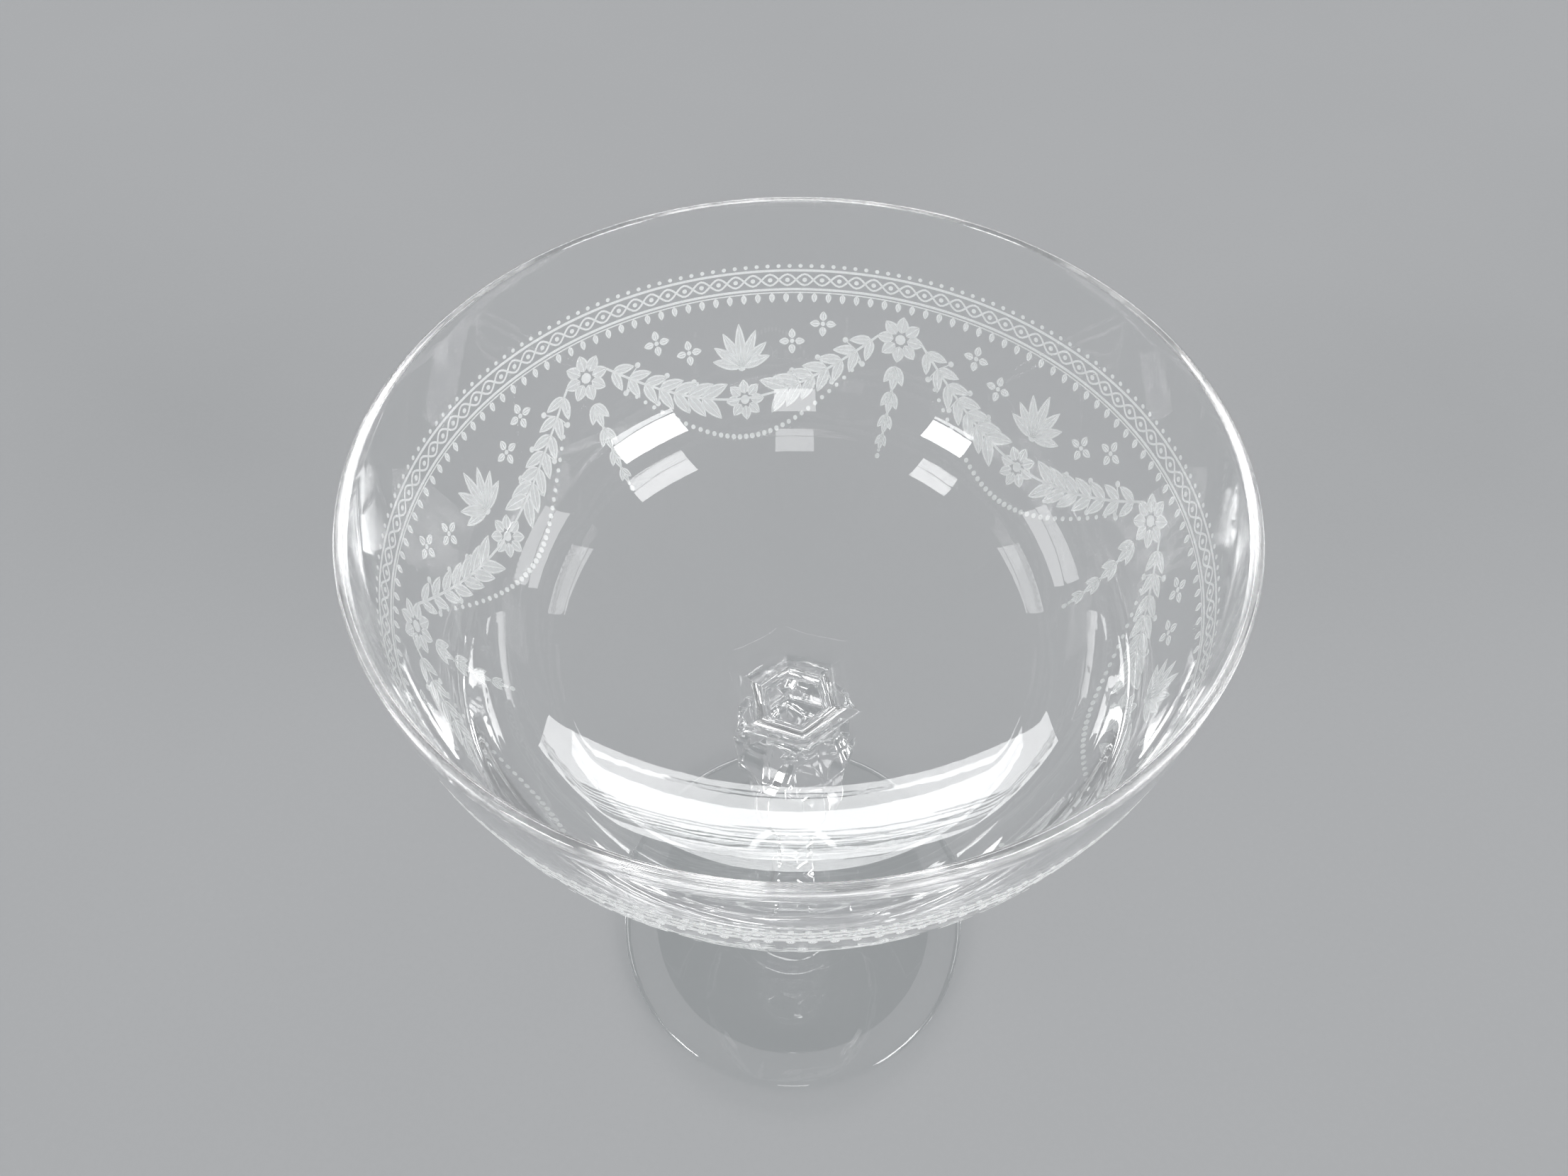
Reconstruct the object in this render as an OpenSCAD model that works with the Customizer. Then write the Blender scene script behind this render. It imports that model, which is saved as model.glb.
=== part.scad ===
// Stemmed coupe of clear crystal: a round thin bowl on a six-sided stem with a
// cut knop, welded to a round foot. It stands on the plane z = 0, with z as its axis.

/* [Overall] */
// Height from the table to the top of the rim
height = 131; // [116:1:160]
// Outer diameter of the bowl at the rim
rim_d = 96; // [88:1:116]
// Diameter of the foot
foot_d = 67; // [54:1:82]

/* [Bowl] */
// Depth of the bowl outside, from the rim to the lowest point of its base
bowl_depth = 49; // [42:0.5:58]
// Radius of the arc of the upper wall
side_r = 76; // [64:1:94]
// Radius of the arc that turns the wall into the base
shoulder_r = 24; // [16:0.5:30]
// Radius of the arc of the base
base_r = 70; // [60:1:90]
// Thickness of the wall at the rim
rim_wall = 1.1; // [0.8:0.1:1.6]
// Thickness of the middle of the base
base_wall = 3.8; // [2.4:0.1:5]

/* [Stem] */
// Width of the neck across its flats, at its narrowest place
neck_w = 7.6; // [6.6:0.1:10]
// Reach of the sweep from the neck out to the bowl, across the axis
neck_sweep_w = 6.5; // [5:0.1:8]
// Reach of that sweep along the axis
neck_sweep_len = 5; // [4:0.1:7]
// Turn of that sweep from the narrowest place up to the bowl, in degrees
neck_weld_turn = 86; // [80:1:88]
// Turn up to which the sides of that sweep stay flat, in degrees
neck_flat_turn = 76; // [40:1:78]
// Turn of that sweep from the narrowest place down to the knop, in degrees
neck_dip_turn = 34; // [0:1:40]
// Length from the waist up to the narrowest place of the neck
knop_len = 17.2; // [15:0.1:20]
// Diameter of the knop over the corners of its belt
knop_d = 18.8; // [16:0.1:23]
// Distance from the waist up to the belt of the knop
belt_rise = 4.4; // [3:0.1:6]
// Height of the belt
belt_len = 3.6; // [1:0.1:5]
// Width of the six narrow panels of the belt, which face the same way as the sides of the shaft
belt_panel_w = 3.9; // [2.5:0.1:5]
// Width of the waist under the knop, across its flats
waist_w = 11; // [9:0.1:12.4]
// Greatest width of the shaft across its flats
shaft_w = 14.8; // [12.6:0.1:18]
// Distance from the waist down to the widest place of the shaft
shaft_shoulder_len = 6.5; // [4:0.1:8]
// Length over which the shaft narrows below its widest place
taper_len = 24; // [18:0.5:28]
// Width of the slim part of the shaft across its flats
slim_w = 6.8; // [6:0.1:9]
// Radius of the sweep from the shaft out onto the foot
ankle_sweep_r = 14; // [11:0.5:17]

/* [Foot] */
// Height of the weld between the stem and the foot
foot_rise = 8; // [6.5:0.1:10]
// Thickness of the foot at its edge
foot_edge = 2.4; // [1.8:0.1:3.2]
// Fall of the upper side of the foot towards its edge, in degrees
foot_fall = 6; // [4:0.5:8]
// Distance from the edge of the foot to the hollow underneath
rest_inset = 6.5; // [4:0.5:10]
// Depth of the hollow underneath
foot_hollow = 1.2; // [0.5:0.1:2]

/* [Hidden] */
glass_tint = [0.86, 0.93, 0.94, 0.45];

// Greatest distance between an arc and its chords
arc_tol = 0.02;
$fn = 96;

// Facets: six sides, and the points of each ring from the middle of one side to the next
side_count = 6;
side_turn = 360 / side_count;
side_points = 6;
ring_points = side_count * side_points;
belt_points = 2 * side_count;
taper_rings = 14;
shoulder_rings = 6;
ankle_rings = 8;
neck_rings = 16;

// Bowl: the three arcs of the wall
rim_c = [rim_d / 2 - rim_wall / 2, height - rim_wall / 2];
side_c = [rim_d / 2 - side_r, rim_c.y];
base_c = [0, height - bowl_depth + base_r];
side_in_r = side_r - rim_wall;
base_in_r = base_r - base_wall;
shoulder_in_r = shoulder_r - rim_wall;
shoulder_c = meeting_point(side_c, side_r - shoulder_r, base_c, base_r - shoulder_r);
shoulder_in_c = meeting_point(side_c, side_in_r - shoulder_in_r, base_c, base_in_r - shoulder_in_r);

// Stem: the weld under the bowl, through the corners of the sweep, and the heights below it
corner_reach = 1 / cos(side_turn / 2);
neck_weld_r = (neck_w / 2 + neck_sweep_w * (1 - cos(neck_weld_turn))) * corner_reach;
neck_weld_z = base_c.y - sqrt(pow(base_r, 2) - pow(neck_weld_r, 2));
neck_z = neck_weld_z - neck_sweep_len * sin(neck_weld_turn);
waist_z = neck_z - knop_len;
belt_foot_z = waist_z + belt_rise;
belt_head_z = belt_foot_z + belt_len;
belt_panel_turn = 2 * asin(belt_panel_w / knop_d);
shaft_wide_z = waist_z - shaft_shoulder_len;
slim_top_z = shaft_wide_z - taper_len;

// Foot: the cone of its upper side and the sweep up to the shaft
edge_r = foot_edge / 2;
edge_c = [foot_d / 2 - edge_r, edge_r];
cone_start = edge_c + edge_r * [sin(foot_fall), cos(foot_fall)];
ankle_end_x = slim_w / 2 + ankle_sweep_r * (1 - sin(foot_fall));
ankle_end_z = cone_start.y + (cone_start.x - ankle_end_x) * tan(foot_fall);
ankle_c = [slim_w / 2 + ankle_sweep_r, ankle_end_z + ankle_sweep_r * cos(foot_fall)];
foot_weld_turn = asin((ankle_c.y - foot_rise) / ankle_sweep_r);
foot_weld_r = ankle_c.x - ankle_sweep_r * cos(foot_weld_turn);
rest_in_r = foot_d / 2 - rest_inset;
hollow_r = (pow(rest_in_r, 2) + pow(foot_hollow, 2)) / (2 * foot_hollow);
hollow_c = [0, foot_hollow - hollow_r];

// Points of an arc from angle a0 to a1, without the first one
function arc(c, r, a0, a1) =
    let (n = ceil(abs(a1 - a0) / (2 * acos(1 - arc_tol / r))))
    [for (i = [1:n]) c + r * [cos(a0 + (a1 - a0) * i / n), sin(a0 + (a1 - a0) * i / n)]];

function angle_of(v) = atan2(v.y, v.x);

// The outer of the two points at distance r1 from c1 and r2 from c2
function meeting_point(c1, r1, c2, r2) =
    let (d = norm(c2 - c1))
    let (u = (c2 - c1) / d)
    let (along = (r1 * r1 - r2 * r2 + d * d) / (2 * d))
    c1 + u * along + sqrt(r1 * r1 - along * along) * [u.y, -u.x];

// One ring of the stem: its height, its radius to the flats, and how faceted it is
function ring(z, r, facet_share) =
    [for (j = [0:ring_points - 1])
        let (t = 360 * j / ring_points)
        let (off_flat = t - side_turn * round(t / side_turn))
        let (reach = r + (r / cos(off_flat) - r) * facet_share)
        [reach * cos(t), reach * sin(t), z]];

// One edge of the belt: two corners on each side of the stem
function belt_ring(z) =
    [for (i = [0:side_count - 1], turn = [-belt_panel_turn / 2, belt_panel_turn / 2])
        let (t = i * side_turn + turn)
        [knop_d / 2 * cos(t), knop_d / 2 * sin(t), z]];

// Faces between two rings of n points, from the numbers of their first points
function strip(low, high, n) =
    [for (j = [0:n - 1])
        let (k = (j + 1) % n)
        each [[low + j, high + j, high + k], [low + j, high + k, low + k]]];

// Facets between the belt and a six-sided ring above it: one from each narrow panel
// to a side of the ring, and one triangle from each wide panel to a corner
function facets(belt, hexagon) =
    [for (i = [0:side_count - 1])
        let (left = belt + 2 * i)
        let (right = left + 1)
        let (next = belt + (2 * i + 2) % belt_points)
        let (half = side_points / 2)
        let (side = [for (j = [-half:half]) hexagon + (side_points * i + j + ring_points) % ring_points])
        each concat(
            [for (j = [0:half - 1]) [left, side[j], side[j + 1]]],
            [[left, side[half], right]],
            [for (j = [half:2 * half - 1]) [right, side[j], side[j + 1]]],
            [[right, side[2 * half], next]])];

function turned_over(faces) = [for (f = faces) [f[0], f[2], f[1]]];

// The stem sweeps up from the round weld on the foot into the six-sided shaft
ankle = [for (i = [0:ankle_rings])
    let (turn = foot_weld_turn * (1 - i / ankle_rings))
    let (r = ankle_c.x - ankle_sweep_r * cos(turn))
    ring(ankle_c.y - ankle_sweep_r * sin(turn), r, i / ankle_rings)];

// The shaft swells from its slim part to its widest place, flat at both ends
taper = [for (i = [0:taper_rings])
    let (swell_share = (1 - cos(180 * i / taper_rings)) / 2)
    let (w = slim_w + (shaft_w - slim_w) * swell_share)
    ring(slim_top_z + taper_len * i / taper_rings, w / 2, 1)];

// The shoulder of the shaft rounds in to the waist
shoulder = [for (i = [1:shoulder_rings])
    let (turn = 90 * i / shoulder_rings)
    let (w = waist_w + (shaft_w - waist_w) * cos(turn))
    ring(shaft_wide_z + shaft_shoulder_len * sin(turn), w / 2, 1)];

// The neck sweeps in from the knop and out again, and its flat sides swell into the
// circle through its corners where it meets the bowl
neck = [for (i = [0:neck_rings])
    let (turn = (neck_weld_turn + neck_dip_turn) * i / neck_rings - neck_dip_turn)
    let (round_share = max(0, turn - neck_flat_turn) / (neck_weld_turn - neck_flat_turn))
    let (facet_share = 1 - pow(round_share, 2) * (3 - 2 * round_share))
    let (swell = corner_reach - (corner_reach - 1) * facet_share)
    let (r = neck_w / 2 + neck_sweep_w * (1 - cos(turn)))
    ring(neck_z + neck_sweep_len * sin(turn), r * swell, facet_share)];

module bowl() {
    a_base = angle_of(shoulder_c - base_c);
    a_side = angle_of(shoulder_c - side_c);
    a_base_in = angle_of(shoulder_in_c - base_c);
    a_side_in = angle_of(shoulder_in_c - side_c);
    color(glass_tint)
        rotate_extrude()
            polygon(concat(
                [[0, neck_weld_z], [neck_weld_r, neck_weld_z]],
                arc(base_c, base_r, angle_of([neck_weld_r, neck_weld_z] - base_c), a_base),
                arc(shoulder_c, shoulder_r, a_base, a_side),
                arc(side_c, side_r, a_side, 0),
                arc(rim_c, rim_wall / 2, 0, 180),
                arc(side_c, side_in_r, 0, a_side_in),
                arc(shoulder_in_c, shoulder_in_r, a_side_in, a_base_in),
                arc(base_c, base_in_r, a_base_in, -90)));
}

module stem() {
    shaft = concat(ankle, taper, shoulder);
    belt = [belt_ring(belt_foot_z), belt_ring(belt_head_z)];
    waist_start = (len(shaft) - 1) * ring_points;
    belt_foot_start = waist_start + ring_points;
    belt_head_start = belt_foot_start + belt_points;
    neck_start = belt_head_start + belt_points;
    weld_start = neck_start + neck_rings * ring_points;
    color(glass_tint)
        polyhedron(
            points = [for (r = concat(shaft, belt, neck)) each r],
            faces = concat(
                [[for (j = [0:ring_points - 1]) j]],
                [for (low = [0:ring_points:waist_start - ring_points])
                    each strip(low, low + ring_points, ring_points)],
                turned_over(facets(belt_foot_start, waist_start)),
                strip(belt_foot_start, belt_head_start, belt_points),
                facets(belt_head_start, neck_start),
                [for (low = [neck_start:ring_points:weld_start - ring_points])
                    each strip(low, low + ring_points, ring_points)],
                [[for (j = [ring_points - 1:-1:0]) weld_start + j]]));
}

module foot() {
    color(glass_tint)
        rotate_extrude()
            polygon(concat(
                [[0, foot_hollow]],
                arc(hollow_c, hollow_r, 90, angle_of([rest_in_r, 0] - hollow_c)),
                [[edge_c.x, 0]],
                arc(edge_c, edge_r, -90, 90 - foot_fall),
                [[ankle_end_x, ankle_end_z]],
                arc(ankle_c, ankle_sweep_r, 270 - foot_fall, 180 + foot_weld_turn),
                [[0, foot_rise]]));
}

bowl();
stem();
foot();
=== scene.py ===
import math

import bmesh
import bpy
from mathutils import Matrix, Vector


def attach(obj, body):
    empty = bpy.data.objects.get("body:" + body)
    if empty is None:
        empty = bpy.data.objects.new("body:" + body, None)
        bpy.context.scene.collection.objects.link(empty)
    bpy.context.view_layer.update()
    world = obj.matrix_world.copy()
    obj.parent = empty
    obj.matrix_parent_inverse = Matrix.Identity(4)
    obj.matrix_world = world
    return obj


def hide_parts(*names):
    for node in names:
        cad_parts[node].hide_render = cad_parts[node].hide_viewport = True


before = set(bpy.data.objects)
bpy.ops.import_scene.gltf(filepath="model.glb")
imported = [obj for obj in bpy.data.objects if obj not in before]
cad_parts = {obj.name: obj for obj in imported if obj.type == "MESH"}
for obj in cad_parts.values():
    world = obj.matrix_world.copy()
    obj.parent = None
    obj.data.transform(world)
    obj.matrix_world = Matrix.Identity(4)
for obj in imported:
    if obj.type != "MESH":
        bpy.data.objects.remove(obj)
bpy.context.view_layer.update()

# Bowl
# Clear lead crystal, blown thin in a mould as a round bowl. The rim is cut off and melted
# round in the fire, and the thick middle of the base is welded hot to the stem.
mm = 0.001
rim_r = 48 * mm
rim_z = 131 * mm
bowl_depth = 49 * mm
side_r = 76 * mm
shoulder_r = 24 * mm
base_r = 70 * mm
rim_wall = 1.1 * mm
base_wall = 3.8 * mm
neck_r = 3.8 * mm
neck_sweep_w = 6.5 * mm
neck_weld_turn = math.radians(86)
side_count = 6
turning_steps = 192
base_steps, shoulder_steps, side_steps, rim_steps = 24, 24, 14, 6
base_in_steps = 30
join_dist = mm / 10000

rim_c = Vector((rim_r - rim_wall / 2, 0, rim_z - rim_wall / 2))
side_c = Vector((rim_r - side_r, 0, rim_c.z))
base_c = Vector((0, 0, rim_z - bowl_depth + base_r))
corner_turn = math.pi / side_count
corner_stretch = 1 / math.cos(corner_turn)
neck_weld_r = (neck_r + neck_sweep_w * (1 - math.cos(neck_weld_turn))) * corner_stretch
neck_weld_z = base_c.z - math.sqrt(base_r ** 2 - neck_weld_r ** 2)


def meeting_point(c1, r1, c2, r2):
    """The outer point of the profile at distance r1 from c1 and r2 from c2."""
    d = (c2 - c1).length
    u = (c2 - c1) / d
    along = (r1 * r1 - r2 * r2 + d * d) / (2 * d)
    return c1 + u * along + Vector((u.z, 0, -u.x)) * math.sqrt(r1 * r1 - along * along)


def turn_of(v):
    """Angle of a direction in the profile's plane, in degrees from +X towards +Z."""
    return math.degrees(math.atan2(v.z, v.x))


def line_to(bm, tip, x, z):
    """Draws the profile on from its end in a straight line."""
    end = bmesh.ops.extrude_vert_indiv(bm, verts=[tip])["verts"][0]
    end.co = (x, 0, z)
    return end


def arc_to(bm, tip, centre, end_turn, steps):
    """Draws the profile on from its end in an arc about a centre, the short way round."""
    turn = (end_turn - turn_of(tip.co - centre) + 180) % 360 - 180
    drawn = bmesh.ops.spin(bm, geom=[tip], cent=centre, axis=(0, -1, 0),
                           angle=math.radians(turn), steps=steps, use_duplicate=False)
    return drawn["geom_last"][0]


def turned(bm, steps):
    """Turns the drawn profile round the axis of the glass into a closed body."""
    bmesh.ops.spin(bm, geom=bm.verts[:] + bm.edges[:], cent=(0, 0, 0), axis=(0, 0, 1),
                   angle=math.tau, steps=steps, use_merge=True, use_duplicate=False)
    bmesh.ops.remove_doubles(bm, verts=bm.verts, dist=join_dist)
    bmesh.ops.recalc_face_normals(bm, faces=bm.faces)


def welded_piece(bm, name, weld_heights, finishes):
    """Makes a smooth piece of a turned body, whose flat weld faces take the second finish."""
    least_flat = 0.9999
    weld_tol = mm / 1000
    for face in bm.faces:
        face.smooth = True
        level = face.calc_center_median().z
        flat = abs(face.normal.z) > least_flat
        if flat and any(abs(level - z) < weld_tol for z in weld_heights):
            face.material_index = 1
    for edge in bm.edges:
        edge.smooth = len({face.material_index for face in edge.link_faces}) == 1
    mesh = bpy.data.meshes.new(name)
    bm.to_mesh(mesh)
    bm.free()
    for finish in finishes:
        mesh.materials.append(finish)
    piece = bpy.data.objects.new(name, mesh)
    bpy.context.scene.collection.objects.link(piece)
    return piece


class Value:
    """One value in a finish: sums on it add Math nodes, and make adds any other node."""

    def __init__(self, tree, socket=None):
        self.tree = tree
        self.socket = socket

    def make(self, kind, settings=None, inputs=None, out=0):
        node = self.tree.nodes.new("ShaderNode" + kind)
        for name, setting in (settings or {}).items():
            if name == "stops":
                ramp = node.color_ramp.elements
                while len(ramp) < len(setting):
                    ramp.new(1)
                for stop, (position, shade) in zip(ramp, setting):
                    stop.position = position
                    stop.color = shade
            else:
                setattr(node, name, setting)
        for name, given in (inputs or {}).items():
            if isinstance(given, Value):
                self.tree.links.new(given.socket, node.inputs[name])
            else:
                node.inputs[name].default_value = given
        return Value(self.tree, node.outputs[out] if node.outputs else None)

    def sum(self, operation, first, second):
        return self.make("Math", {"operation": operation}, {0: first, 1: second})

    def __add__(self, other):
        return self.sum("ADD", self, other)

    def __sub__(self, other):
        return self.sum("SUBTRACT", self, other)

    def __rsub__(self, other):
        return self.sum("SUBTRACT", other, self)

    def __mul__(self, other):
        return self.sum("MULTIPLY", self, other)

    def __pow__(self, other):
        return self.sum("POWER", self, other)

    __radd__ = __add__
    __rmul__ = __mul__


def new_finish(name):
    """An empty material, and the tree that its nodes are made in."""
    material = bpy.data.materials.new(name)
    material.use_nodes = True
    material.node_tree.nodes.clear()
    return material, Value(material.node_tree)


def crystal(name, ring_pitch, ring_height, wave_pitch, wave_height):
    """Clear crystal with the faint rings and waves that working it hot leaves in its skin."""
    material, tree = new_finish(name)
    place = tree.make("TexCoord", out="Object")
    x, y, z = (tree.make("SeparateXYZ", inputs={0: place}, out=axis) for axis in range(3))
    from_axis = (x * x + y * y) ** 0.5
    rings = tree.make("TexNoise", {"noise_dimensions": "1D"},
                      {"W": from_axis + z * 0.6, "Scale": 1 / ring_pitch, "Detail": 2})
    waves = tree.make("TexNoise", inputs={"Vector": place, "Scale": 1 / wave_pitch, "Detail": 1})
    ringed = tree.make("Bump", inputs={"Distance": ring_height, "Height": rings})
    skin = tree.make("Bump", inputs={"Distance": wave_height, "Height": waves, "Normal": ringed})
    film = tree.make("TexNoise", inputs={"Vector": place, "Scale": 70, "Detail": 4})
    tint = tree.make("Mix", {"data_type": "RGBA"},
                     {0: film, 6: (0.985, 0.992, 0.992, 1), 7: (1, 1, 1, 1)}, out=2)
    glass = tree.make("BsdfPrincipled", inputs={
        "Base Color": tint, "Roughness": film * film * 0.02, "IOR": 1.54,
        "Transmission Weight": 1, "Normal": skin})
    edge = tree.make("LayerWeight", inputs={"Blend": 0.35}, out="Facing")
    shade = tree.make("MixShader", inputs={
        0: edge,
        1: tree.make("BsdfTransparent", inputs={"Color": (0.97, 0.975, 0.975, 1)}),
        2: tree.make("BsdfTransparent", inputs={"Color": (0.75, 0.765, 0.765, 1)})})
    for ray in ("Is Shadow Ray", "Is Diffuse Ray"):
        on_way = tree.make("LightPath", out=ray)
        glass = tree.make("MixShader", inputs={0: on_way, 1: glass, 2: shade})
    tree.make("OutputMaterial", inputs={"Surface": glass})
    return material


weld_finish, weld_tree = new_finish("hot weld")
weld_tree.make("OutputMaterial", inputs={"Surface": weld_tree.make("BsdfTransparent")})

shoulder_c = meeting_point(side_c, side_r - shoulder_r, base_c, base_r - shoulder_r)
side_in_r = side_r - rim_wall
shoulder_in_r = shoulder_r - rim_wall
base_in_r = base_r - base_wall
shoulder_in_c = meeting_point(side_c, side_in_r - shoulder_in_r, base_c, base_in_r - shoulder_in_r)
side_turn = turn_of(shoulder_c - side_c)
base_turn = turn_of(shoulder_c - base_c)
side_in_turn = turn_of(shoulder_in_c - side_c)
base_in_turn = turn_of(shoulder_in_c - base_c)

bowl_body = bmesh.new()
tip = bowl_body.verts.new((0, 0, neck_weld_z))
tip = line_to(bowl_body, tip, neck_weld_r, neck_weld_z)
tip = arc_to(bowl_body, tip, base_c, base_turn, base_steps)
tip = arc_to(bowl_body, tip, shoulder_c, side_turn, shoulder_steps)
tip = arc_to(bowl_body, tip, side_c, 0, side_steps)
tip = arc_to(bowl_body, tip, rim_c, 90, rim_steps)
tip = arc_to(bowl_body, tip, rim_c, 180, rim_steps)
tip = arc_to(bowl_body, tip, side_c, side_in_turn, side_steps)
tip = arc_to(bowl_body, tip, shoulder_in_c, base_in_turn, shoulder_steps)
arc_to(bowl_body, tip, base_c, -90, base_in_steps)
turned(bowl_body, turning_steps)

blown_skin = crystal("blown crystal", ring_pitch=2.2 * mm, ring_height=0.0008 * mm,
                     wave_pitch=22 * mm, wave_height=0.012 * mm)
bowl = welded_piece(bowl_body, "bowl_crystal", [neck_weld_z], [blown_skin, weld_finish])
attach(bowl, "root")
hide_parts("bowl")

# Stem
# Solid crystal pressed in a six-sided mould, then cut and polished: a slim shaft that swells to
# a shoulder, a waist, a knop with flat facets round a belt, and a neck that flares to the bowl.
neck_sweep_len = 5 * mm
neck_flat_turn = math.radians(76)
neck_dip_turn = math.radians(34)
knop_len = 17.2 * mm
knop_r = 9.4 * mm
belt_rise = 4.4 * mm
belt_len = 3.6 * mm
belt_panel_w = 3.9 * mm
waist_r = 5.5 * mm
shaft_r = 7.4 * mm
shaft_shoulder_len = 6.5 * mm
taper_len = 24 * mm
slim_r = 3.4 * mm
ankle_sweep_r = 14 * mm
foot_rise = 8 * mm
foot_r = 33.5 * mm
foot_edge_r = 1.2 * mm
foot_fall = math.radians(6)
edge_round = 0.18 * mm
edge_power = 200
ankle_steps, taper_rows, shoulder_rows, neck_rows = 20, 40, 16, 44
row_len = 0.25 * mm
stem_turning_steps = 360

edge_c = Vector((foot_r - foot_edge_r, 0, foot_edge_r))
cone_start = edge_c + foot_edge_r * Vector((math.sin(foot_fall), 0, math.cos(foot_fall)))
ankle_end_x = slim_r + ankle_sweep_r * (1 - math.sin(foot_fall))
ankle_end_z = cone_start.z + (cone_start.x - ankle_end_x) * math.tan(foot_fall)
ankle_c = Vector((slim_r + ankle_sweep_r, 0, ankle_end_z + ankle_sweep_r * math.cos(foot_fall)))
foot_weld_turn = math.asin((ankle_c.z - foot_rise) / ankle_sweep_r)
foot_weld_r = ankle_c.x - ankle_sweep_r * math.cos(foot_weld_turn)

neck_z = neck_weld_z - neck_sweep_len * math.sin(neck_weld_turn)
neck_foot_r = neck_r + neck_sweep_w * (1 - math.cos(neck_dip_turn))
neck_foot_z = neck_z - neck_sweep_len * math.sin(neck_dip_turn)
waist_z = neck_z - knop_len
belt_foot_z = waist_z + belt_rise
belt_head_z = belt_foot_z + belt_len
shaft_wide_z = waist_z - shaft_shoulder_len
slim_top_z = shaft_wide_z - taper_len
side_turns = [math.tau * i / side_count for i in range(side_count)]
belt_half_turn = math.asin(belt_panel_w / 2 / knop_r)
belt_side_r = knop_r * math.cos(belt_half_turn)
belt_corner_r = knop_r * math.cos(corner_turn - belt_half_turn)

stem_body = bmesh.new()
tip = stem_body.verts.new((0, 0, foot_rise))
tip = line_to(stem_body, tip, foot_weld_r, foot_rise)
tip = arc_to(stem_body, tip, ankle_c, 180, ankle_steps)
tip = line_to(stem_body, tip, slim_r, slim_top_z)
for i in range(1, taper_rows + 1):
    swell = (1 - math.cos(math.pi * i / taper_rows)) / 2
    tip = line_to(stem_body, tip, slim_r + (shaft_r - slim_r) * swell,
                  slim_top_z + taper_len * i / taper_rows)
for i in range(1, shoulder_rows + 1):
    lean = math.pi / 2 * i / shoulder_rows
    tip = line_to(stem_body, tip, waist_r + (shaft_r - waist_r) * math.cos(lean),
                  shaft_wide_z + shaft_shoulder_len * math.sin(lean))
waist_corner = tip
belt_foot = line_to(stem_body, waist_corner, belt_side_r, belt_foot_z)
belt_head = line_to(stem_body, belt_foot, belt_side_r, belt_head_z)
neck_corner = line_to(stem_body, belt_head, neck_foot_r, neck_foot_z)
tip = neck_corner
for i in range(1, neck_rows + 1):
    lean = (neck_weld_turn + neck_dip_turn) * i / neck_rows - neck_dip_turn
    tip = line_to(stem_body, tip, neck_r + neck_sweep_w * (1 - math.cos(lean)),
                  neck_z + neck_sweep_len * math.sin(lean))
line_to(stem_body, tip, 0, neck_weld_z)
bmesh.ops.bevel(stem_body, geom=[waist_corner, belt_foot, belt_head, neck_corner], offset=edge_round,
                offset_type="OFFSET", segments=3, profile=0.5, affect="VERTICES", material=-1)
for edge in stem_body.edges[:]:
    rise = abs(edge.verts[0].co.z - edge.verts[1].co.z)
    level = (edge.verts[0].co.z + edge.verts[1].co.z) / 2
    if rise > 2 * row_len and waist_z < level < neck_foot_z:
        bmesh.ops.subdivide_edges(stem_body, edges=[edge], cuts=round(rise / row_len) - 1)
turned(stem_body, stem_turning_steps)


def between(x, knots):
    """Reads a height off straight lines between knots."""
    for (x0, y0), (x1, y1) in zip(knots, knots[1:]):
        if x <= x1:
            return y0 + (y1 - y0) * (x - x0) / (x1 - x0)
    return knots[-1][1]


def corner_cut(z):
    """Distance from the axis to the facets over the corners, at a height of the knop."""
    return between(z, [(waist_z, waist_r * corner_stretch), (belt_foot_z, belt_corner_r),
                       (belt_head_z, belt_corner_r), (neck_foot_z, neck_foot_r * corner_stretch)])


def facet_stretch(turn, cut_share):
    """How far out a section with fine soft edges lies at an angle, beside its flat sides."""
    reach = 0
    for side_at in side_turns:
        reach += max(0, math.cos(turn - side_at)) ** edge_power
        reach += (max(0, math.cos(turn - side_at - corner_turn)) / cut_share) ** edge_power
    return reach ** (-1 / edge_power)


uncut = 2
for v in stem_body.verts:
    radius = math.hypot(v.co.x, v.co.y)
    if radius < join_dist:
        continue
    facet_share = 1
    swell = 1
    if v.co.z < ankle_c.z:
        facet_share = 1 - math.asin(min(1, (ankle_c.z - v.co.z) / ankle_sweep_r)) / foot_weld_turn
    if v.co.z > neck_z:
        flare = math.asin((v.co.z - neck_z) / neck_sweep_len)
        round_share = max(0, flare - neck_flat_turn) / (neck_weld_turn - neck_flat_turn)
        facet_share = 1 - round_share ** 2 * (3 - 2 * round_share)
        swell = corner_stretch - (corner_stretch - 1) * facet_share
    cut_share = corner_cut(v.co.z) / radius if waist_z < v.co.z < neck_foot_z else uncut
    stretch = swell * (1 + (facet_stretch(math.atan2(v.co.y, v.co.x), cut_share) - 1) * facet_share)
    v.co.x *= stretch
    v.co.y *= stretch
bmesh.ops.recalc_face_normals(stem_body, faces=stem_body.faces)

pressed_skin = crystal("pressed crystal", ring_pitch=3 * mm, ring_height=0.0005 * mm,
                       wave_pitch=7 * mm, wave_height=0.006 * mm)
stem_welds = [foot_rise, neck_weld_z]
stem = welded_piece(stem_body, "stem_crystal", stem_welds, [pressed_skin, weld_finish])
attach(stem, "root")
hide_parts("stem")

# Foot
# A round of soft crystal dropped on the end of the stem and spread flat with a wooden clapper
# while it turns. Its edge is fire polished, and a shallow hollow leaves a ring to stand on.
rest_in_r = 27 * mm
foot_hollow = 1.2 * mm
hollow_steps, edge_steps, sweep_steps = 16, 12, 16

hollow_r = (rest_in_r ** 2 + foot_hollow ** 2) / (2 * foot_hollow)
hollow_c = Vector((0, 0, foot_hollow - hollow_r))

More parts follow.
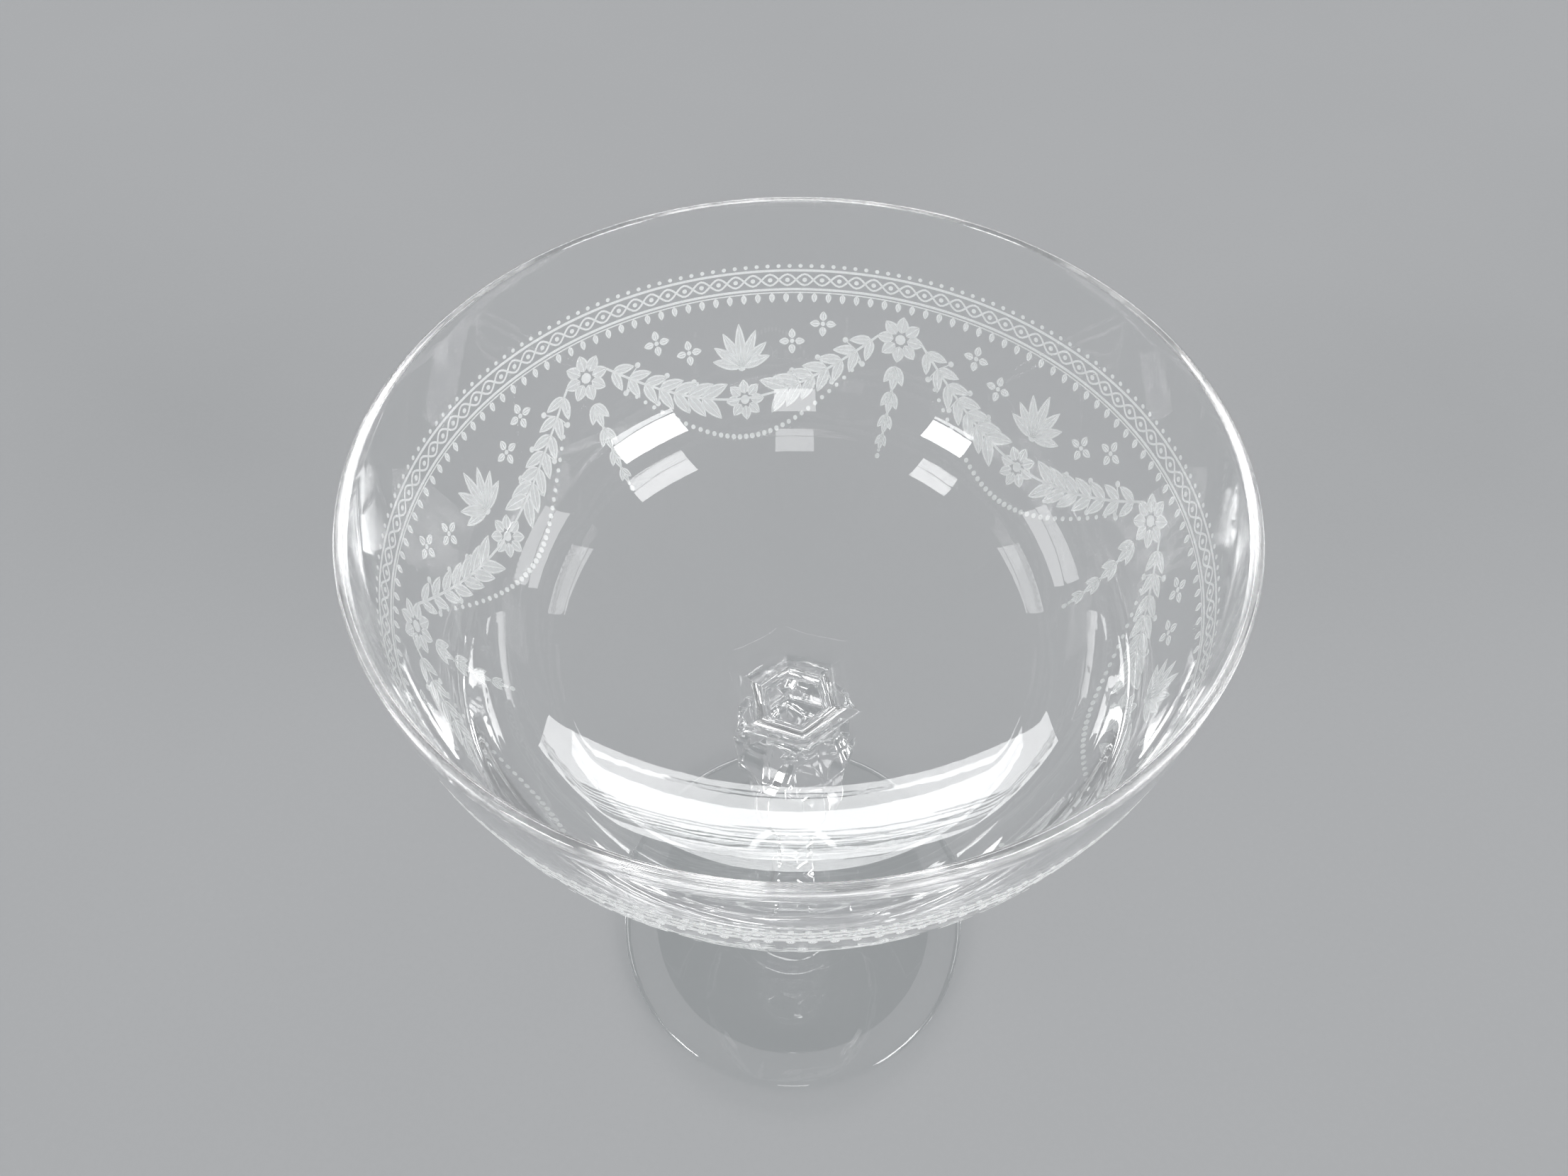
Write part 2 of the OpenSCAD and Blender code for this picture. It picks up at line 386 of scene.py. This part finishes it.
foot_body = bmesh.new()
tip = foot_body.verts.new((0, 0, foot_hollow))
tip = arc_to(foot_body, tip, hollow_c, turn_of(Vector((rest_in_r, 0, 0)) - hollow_c), hollow_steps)
tip = line_to(foot_body, tip, edge_c.x, 0)
tip = arc_to(foot_body, tip, edge_c, 90 - math.degrees(foot_fall), edge_steps)
tip = line_to(foot_body, tip, ankle_end_x, ankle_end_z)
tip = arc_to(foot_body, tip, ankle_c, 180 + math.degrees(foot_weld_turn), sweep_steps)
line_to(foot_body, tip, 0, foot_rise)
turned(foot_body, turning_steps)

spread_skin = crystal("spread crystal", ring_pitch=2.6 * mm, ring_height=0.002 * mm,
                      wave_pitch=14 * mm, wave_height=0.02 * mm)
foot = welded_piece(foot_body, "foot_crystal", [foot_rise], [spread_skin, weld_finish])
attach(foot, "root")
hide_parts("foot")

# Etched band
# White frost bitten into the outside of the bowl through a printed resist: two rails with
# interlaced strands and dots between them, a row of pearls above, and a thin line with small
# drops below.
wall_r = 46.5 * mm
repeats = 6
repeat_len = math.tau * wall_r / repeats
side_len = side_r * math.radians(-side_turn)
shoulder_len = shoulder_r * math.radians(side_turn - base_turn)
frost_lift = 0.012 * mm
frost_depth = 0.02 * mm
layer_step = 0.03 * mm
leaf_edge_w = 0.26 * mm
leaf_rib_w = 0.12 * mm
leaf_tip_half_w = 0.05 * mm
blade_tone = 0.4
band_top = 10.6 * mm
band_foot = 13.5 * mm
rail_w = 0.36 * mm
thin_rail_w = 0.18 * mm
thin_rail_gap = 0.5 * mm
strand_waves = 10
strand_w = 0.28 * mm
strand_swing = 0.85 * mm
bead_r = 0.34 * mm
pearls = 32
pearl_r = 0.3 * mm
pearl_gap = 0.7 * mm
drops = 24
drop_len = 1.4 * mm
drop_w = 0.75 * mm
drop_gap = 0.6 * mm


def on_wall(spot):
    """Lays a point of the flat drawing on the bowl: x runs round it, y down from the rim."""
    down = spot.y
    if down < side_len:
        centre, radius, lean = side_c, side_r, -down / side_r
    elif down < side_len + shoulder_len:
        centre, radius = shoulder_c, shoulder_r
        lean = math.radians(side_turn) - (down - side_len) / shoulder_r
    else:
        centre, radius = base_c, base_r
        lean = math.radians(base_turn) - (down - side_len - shoulder_len) / base_r
    radius += frost_lift + spot.z
    out = centre.x + radius * math.cos(lean)
    turn = spot.x / wall_r
    return Vector((out * math.cos(turn), out * math.sin(turn), centre.z + radius * math.sin(lean)))


def patch(bm, columns, rows):
    """A flat net of faces, with its corners by column and row."""
    made = bmesh.ops.create_grid(bm, x_segments=columns, y_segments=rows, size=1)["verts"]
    return {(round((v.co.x + 1) / 2 * columns), round((v.co.y + 1) / 2 * rows)): v for v in made}


def line(bm, path, width, layer=0, joined=False):
    """A drawn line of even width along a path, which may join up with its next repeat."""
    last = len(path) - 1
    track = [path[0], *path, path[last]]
    if joined:
        track[0] = path[last - 1] - Vector((repeat_len, 0))
        track[-1] = path[1] + Vector((repeat_len, 0))
    for (column, row), v in patch(bm, 1, last).items():
        ahead = track[row + 2] - track[row]
        across = Vector((ahead.y, -ahead.x)).normalized() * width
        spot = path[row] + across * (column - 0.5)
        v.co = (spot.x, spot.y, layer * layer_step)


def dot(bm, at, radius, layer=0):
    """A round dot."""
    spot = Matrix.Translation((at.x, at.y, layer * layer_step))
    bmesh.ops.create_circle(bm, cap_ends=True, segments=10, radius=radius, matrix=spot)


def heading(turn):
    """Direction on the flat drawing, turned from straight down."""
    return Vector((math.sin(turn), math.cos(turn)))


def leaf(bm, at, turn, length, width, layer=0):
    """A leaf with a drawn edge and rib, its two blades toned more lightly than they are."""
    columns, rows = 5, 6
    tone = bm.faces.layers.float["tone"]
    ahead = heading(turn)
    across = Vector((ahead.y, -ahead.x))
    net = patch(bm, columns, rows)
    for face in {f for v in net.values() for f in v.link_faces}:
        column = round((face.calc_center_median().x + 1) / 2 * columns - 0.5)
        if column in (1, 3):
            face[tone] = blade_tone
    for (column, row), v in net.items():
        along = row / rows
        swell = max(0, math.sin(math.pi * along ** 0.8)) ** 0.75
        half = width / 2 * swell + leaf_tip_half_w
        inner = max(half - leaf_edge_w, half * 0.3)
        rib = min(leaf_rib_w, inner * 0.5) * (1 - 0.7 * along)
        side = (-half, -inner, -rib, rib, inner, half)[column]
        spot = at + ahead * (along * length) + across * side
        v.co = (spot.x, spot.y, layer * layer_step)


def new_drawing():
    """An empty flat drawing, whose faces each carry a tone."""
    bm = bmesh.new()
    bm.faces.layers.float.new("tone")
    return bm


def etched_piece(bm, name, finish):
    """Repeats the flat drawing round the bowl, lays it on the wall and gives it its depth."""
    tone = bm.faces.layers.float["tone"]
    for face in bm.faces:
        face[tone] = face[tone] or 1
    motif = bm.verts[:] + bm.edges[:] + bm.faces[:]
    for i in range(1, repeats):
        copied = bmesh.ops.duplicate(bm, geom=motif)["geom"]
        bmesh.ops.translate(bm, verts=[v for v in copied if isinstance(v, bmesh.types.BMVert)],
                            vec=(repeat_len * i, 0, 0))
    for v in bm.verts:
        v.co = on_wall(v.co)
    bmesh.ops.remove_doubles(bm, verts=bm.verts, dist=join_dist)
    bm.normal_update()
    inward = [f for f in bm.faces if f.normal.xy.dot(f.verts[0].co.xy) < 0]
    bmesh.ops.reverse_faces(bm, faces=inward)
    bmesh.ops.solidify(bm, geom=bm.faces[:], thickness=-frost_depth)
    bmesh.ops.recalc_face_normals(bm, faces=bm.faces)
    mesh = bpy.data.meshes.new(name)
    bm.to_mesh(mesh)
    bm.free()
    mesh.materials.append(finish)
    piece = bpy.data.objects.new(name, mesh)
    bpy.context.scene.collection.objects.link(piece)
    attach(piece, "root")


frost_finish, frost_tree = new_finish("white frost")
frost_place = frost_tree.make("TexCoord", out="Object")
frost_tone = frost_tree.make("Attribute", {"attribute_name": "tone"}, out="Fac")
frost_grain = frost_tree.make("TexNoise", inputs={"Vector": frost_place, "Scale": 5000, "Detail": 2})
frost_white = frost_tree.make("Mix", {"data_type": "RGBA"}, {
    0: frost_grain, 6: (0.9, 0.9, 0.9, 1), 7: (0.98, 0.98, 0.98, 1)}, out=2)
frost_front = frost_tree.make("BsdfPrincipled", inputs={"Base Color": frost_white, "Roughness": 0.7})
frost_back = frost_tree.make("BsdfTranslucent", inputs={"Color": (0.93, 0.94, 0.94, 1)})
frost_body = frost_tree.make("MixShader", inputs={0: 0.35, 1: frost_front, 2: frost_back})
frost_cover = frost_tone * (frost_grain * 0.2 + 0.88)
frost_see = frost_tree.make("BsdfTransparent")
frost_all = frost_tree.make("MixShader", inputs={0: frost_cover, 1: frost_see, 2: frost_body})
frost_tree.make("OutputMaterial", inputs={"Surface": frost_all})

band_mid = (band_top + band_foot) / 2
band_steps = 120
band_shares = [i / band_steps for i in range(band_steps + 1)]
rails = [(band_top, rail_w), (band_foot, rail_w), (band_foot + thin_rail_gap, thin_rail_w)]

band_drawing = new_drawing()
for depth, width in rails:
    line(band_drawing, [Vector((repeat_len * share, depth)) for share in band_shares], width, joined=True)
for layer, swing in ((1, strand_swing), (2, -strand_swing)):
    waves = [swing * math.cos(math.tau * strand_waves * share) for share in band_shares]
    strand = [Vector((repeat_len * share, band_mid + wave)) for share, wave in zip(band_shares, waves)]
    line(band_drawing, strand, strand_w, layer, joined=True)
for i in range(2 * strand_waves):
    dot(band_drawing, Vector((repeat_len * i / (2 * strand_waves), band_mid)), bead_r)
for i in range(pearls):
    dot(band_drawing, Vector((repeat_len * i / pearls, band_top - pearl_gap)), pearl_r)
for i in range(drops):
    drop_at = Vector((repeat_len * (i + 0.5) / drops, band_foot + drop_gap))
    leaf(band_drawing, drop_at, 0, drop_len, drop_w)
etched_piece(band_drawing, "etched_band", frost_finish)

# Etched garlands
# The same frost, drawn as laurel festoons that hang between rosettes under the band, with
# husks and strings of pearls below, and a fan of leaves over the middle of each festoon.
rosette_depth = 19.6 * mm
festoon_gap = 3.4 * mm
festoon_sag = 10.6 * mm
spine_w = 0.36 * mm
sprays = 7
spray_share = 0.72
laurel_len = 4.3 * mm
laurel_w = 1.75 * mm
laurel_lean = 0.62
berry_r = 0.45 * mm
berry_reach = 2.3 * mm
berry_lean = 1.35
stalk_w = 0.18 * mm
husk_gap = 4.2 * mm
husk_lens = [4 * mm, 3.6 * mm, 3.1 * mm, 2.5 * mm]
husk_lean = 0.5
knot_r = 0.28 * mm
end_pearl_r = 0.45 * mm
end_pearl_gap = 0.9 * mm
fan_depth = 25.2 * mm
fan_len = 6.8 * mm
fan_len_step = 0.7 * mm
fan_leaf_w = 1.6 * mm
fan_lean = 0.42
fan_eye_r = 0.7 * mm
sprig_places = [(0.6, 18.8 * mm), (0.38, 21.6 * mm)]
swag_pearls = 37
swag_gap = 1.5 * mm
swag_sag = 4.5 * mm
swag_end_r = 0.3 * mm
swag_mid_r = 0.46 * mm

festoon_half = repeat_len / 2 - festoon_gap
festoon_mid = repeat_len / 2
garland_drawing = new_drawing()


def rosette(at, petals, petal_len, petal_w, eye_r):
    """A flower seen from the front."""
    for i in range(petals):
        turn = math.tau * i / petals
        root = at + heading(turn) * eye_r * 1.3
        leaf(garland_drawing, root, turn, petal_len, petal_w, 1 + i % 2)
    dot(garland_drawing, at, eye_r, 2)


def husks(at, lengths):
    """A string of bellflower husks, each of three leaves, ending in a pearl."""
    for length in lengths:
        for layer, (lean, share) in enumerate(((-husk_lean, 0.8), (husk_lean, 0.8), (0, 1)), 1):
            leaf(garland_drawing, at, lean, length * share, length * 0.36, layer)
        at = at + Vector((0, length * 1.02))
        dot(garland_drawing, at, knot_r, 4)
    dot(garland_drawing, at + Vector((0, end_pearl_gap)), end_pearl_r, 4)


def festoon_at(share):
    """Point of the festoon, from -1 at its left end to 1 at its right end."""
    depth = rosette_depth + festoon_sag * (1 - share * share)
    return Vector((festoon_mid + festoon_half * share, depth))


spine_steps = 60
line(garland_drawing, [festoon_at(2 * i / spine_steps - 1) for i in range(spine_steps + 1)], spine_w)
for way in (-1, 1):
    for i in range(sprays):
        share = way * (1 - spray_share * (i + 0.4) / sprays)
        at = festoon_at(share)
        ahead = festoon_at(share - way * 0.01) - at
        turn = math.atan2(ahead.x, ahead.y)
        size = 0.8 + 0.35 * i / sprays
        for layer, lean in ((1 + i % 2, -laurel_lean), (3 + i % 2, laurel_lean)):
            leaf(garland_drawing, at, turn + lean, laurel_len * size, laurel_w * size, layer)
        if i % 2:
            for lean in (-berry_lean, berry_lean):
                berry = at + heading(turn + lean) * berry_reach
                line(garland_drawing, [at.lerp(berry, 0.2), at.lerp(berry, 0.6), berry], stalk_w)
                dot(garland_drawing, berry, berry_r, 5)
rosette(Vector((0, rosette_depth)), petals=8, petal_len=2.5 * mm, petal_w=1.8 * mm, eye_r=0.8 * mm)
husks(Vector((0, rosette_depth + husk_gap)), husk_lens)
mid_rosette_at = festoon_at(0) + Vector((0, 0.2 * mm))
rosette(mid_rosette_at, petals=8, petal_len=2.2 * mm, petal_w=1.6 * mm, eye_r=0.75 * mm)
fan_foot = Vector((festoon_mid, fan_depth))
for i in range(-3, 4):
    leaf_len = fan_len - fan_len_step * abs(i)
    leaf(garland_drawing, fan_foot, math.pi + fan_lean * i, leaf_len, fan_leaf_w, 1 + i % 2)
dot(garland_drawing, fan_foot, fan_eye_r, 3)
for side in (-1, 1):
    for share, depth in sprig_places:
        sprig = Vector((festoon_mid + festoon_half * share * side, depth))
        rosette(sprig, petals=4, petal_len=1.5 * mm, petal_w=1 * mm, eye_r=0.35 * mm)
for i in range(1, swag_pearls):
    share = 2 * i / swag_pearls - 1
    hang = Vector((0, swag_gap + swag_sag * (1 - share * share)))
    swag_r = swag_mid_r + (swag_end_r - swag_mid_r) * abs(share)
    dot(garland_drawing, festoon_at(share) + hang, swag_r)
etched_piece(garland_drawing, "etched_garlands", frost_finish)

# Table
# A wide pale table top with a matt painted face, which the glass stands on. Its face has the
# faint clouds and grain that a roller leaves.
table_r = 4000 * mm
table_body = bmesh.new()
bmesh.ops.create_circle(table_body, cap_ends=True, segments=96, radius=table_r)
table_mesh = bpy.data.meshes.new("table")
table_body.to_mesh(table_mesh)
table_body.free()
table = bpy.data.objects.new("table", table_mesh)
bpy.context.scene.collection.objects.link(table)
table_finish, table_tree = new_finish("matt pale paint")
table_place = table_tree.make("TexCoord", out="Object")
table_cloud = table_tree.make("TexNoise", inputs={"Vector": table_place, "Scale": 9, "Detail": 4})
table_grain = table_tree.make("TexNoise", inputs={"Vector": table_place, "Scale": 900, "Detail": 2})
table_mottle = table_cloud * 0.6 + table_grain * 0.4
table_tone = table_tree.make("Mix", {"data_type": "RGBA"}, {
    0: table_mottle, 6: (0.4, 0.408, 0.418, 1), 7: (0.44, 0.448, 0.458, 1)}, out=2)
table_bump = table_tree.make("Bump", inputs={"Distance": 0.02 * mm, "Height": table_grain})
table_tree.make("OutputMaterial", inputs={"Surface": table_tree.make("BsdfPrincipled", inputs={
    "Base Color": table_tone, "Roughness": 0.75, "Specular IOR Level": 0, "Normal": table_bump})})
table_mesh.materials.append(table_finish)

# Light
# A soft studio: a dim even room that is palest at the horizon, a wide softbox low down beyond
# the glass, one at each side, and three in front: beside the camera and a dim one behind it.
view_turn = math.radians(-10)
world = bpy.data.worlds.new("studio")
world.use_nodes = True
world.node_tree.nodes.clear()
bpy.context.scene.world = world
room = Value(world.node_tree)
height_share = room.make("SeparateXYZ", inputs={0: room.make("TexCoord", out="Generated")}, out=2)
horizon = (0.4, 0.41, 0.42, 1)
room_light = room.make("ValToRGB", {"stops": [
    (0, horizon), (0.06, horizon), (0.35, (0.2, 0.205, 0.21, 1)), (1, (0.12, 0.12, 0.125, 1))]},
    {0: height_share})
room_look = room.make("ValToRGB", {"stops": [
    (0, horizon), (1, (0.22, 0.225, 0.23, 1))]}, {0: height_share})
seen = room.make("LightPath", out="Is Camera Ray")
seen_through = room.make("LightPath", out="Is Transmission Ray")
mirrored = room.make("LightPath", out="Is Glossy Ray")
room_shade = room.make("Mix", {"data_type": "RGBA"}, {
    0: seen + seen_through + mirrored, 6: room_light, 7: room_look}, out=2)
backdrop = room.make("Background", inputs={"Color": room_shade, "Strength": 1})
room.make("OutputWorld", inputs={"Surface": backdrop})


def softbox(name, turn, rise, width, height, brightness):
    """A far softbox that faces the glass, at a turn from the view and a rise in degrees."""
    distance = 12000 * mm
    aim_z = 90 * mm
    lamp = bpy.data.lights.new(name, "AREA")
    lamp.shape = "RECTANGLE"
    lamp.size = width
    lamp.size_y = height
    lamp.energy = math.pi * width * height * brightness
    box = bpy.data.objects.new(name, lamp)
    side = Matrix.Rotation(view_turn + math.radians(turn), 4, "Z")
    lift = Matrix.Rotation(math.radians(90 + rise), 4, "X")
    away = Matrix.Translation((0, 0, -distance))
    facing = Matrix.Rotation(math.pi, 4, "Y")
    box.matrix_world = Matrix.Translation((0, 0, aim_z)) @ side @ lift @ away @ facing
    box.visible_camera = False
    bpy.context.scene.collection.objects.link(box)


softbox("back_softbox", 0, 23, 14.4, 3.2, 7.5)
softbox("left_softbox", 128, 24, 2.8, 3.4, 19)
softbox("right_softbox", -130, 24.5, 4.4, 4, 16)
softbox("front_softbox", 180, 25, 2.6, 3.6, 5)
softbox("left_fill", 80, 23, 4.8, 3.2, 4.4)
softbox("right_fill", -80, 23, 4.8, 3.2, 4.4)

# Camera
# It looks down into the bowl from in front, close by with a wide lens. Light is followed through
# many bounces, because the thin wall of a glass leads it on for a long way.
camera_at = Vector((-1.48, -81.2, 214.63)) * mm
look_down = math.radians(52.706)
camera_roll = math.radians(-0.245)
glass_bounces = 160
clear_bounces = 48
camera_data = bpy.data.cameras.new("camera")
camera_data.sensor_width = 36
camera_data.lens = 25.06
camera_data.clip_start = 1 * mm
camera = bpy.data.objects.new("camera", camera_data)
view_side = Matrix.Rotation(view_turn, 4, "Z")
view_tilt = Matrix.Rotation(math.pi / 2 - look_down, 4, "X")
view_roll = Matrix.Rotation(camera_roll, 4, "Z")
camera.matrix_world = view_side @ Matrix.Translation(camera_at) @ view_tilt @ view_roll
bpy.context.scene.collection.objects.link(camera)
bpy.context.scene.camera = camera
bpy.context.scene.view_settings.view_transform = "Standard"
cycles = bpy.context.scene.cycles
cycles.max_bounces = glass_bounces
cycles.transmission_bounces = glass_bounces
cycles.glossy_bounces = glass_bounces
cycles.transparent_max_bounces = clear_bounces
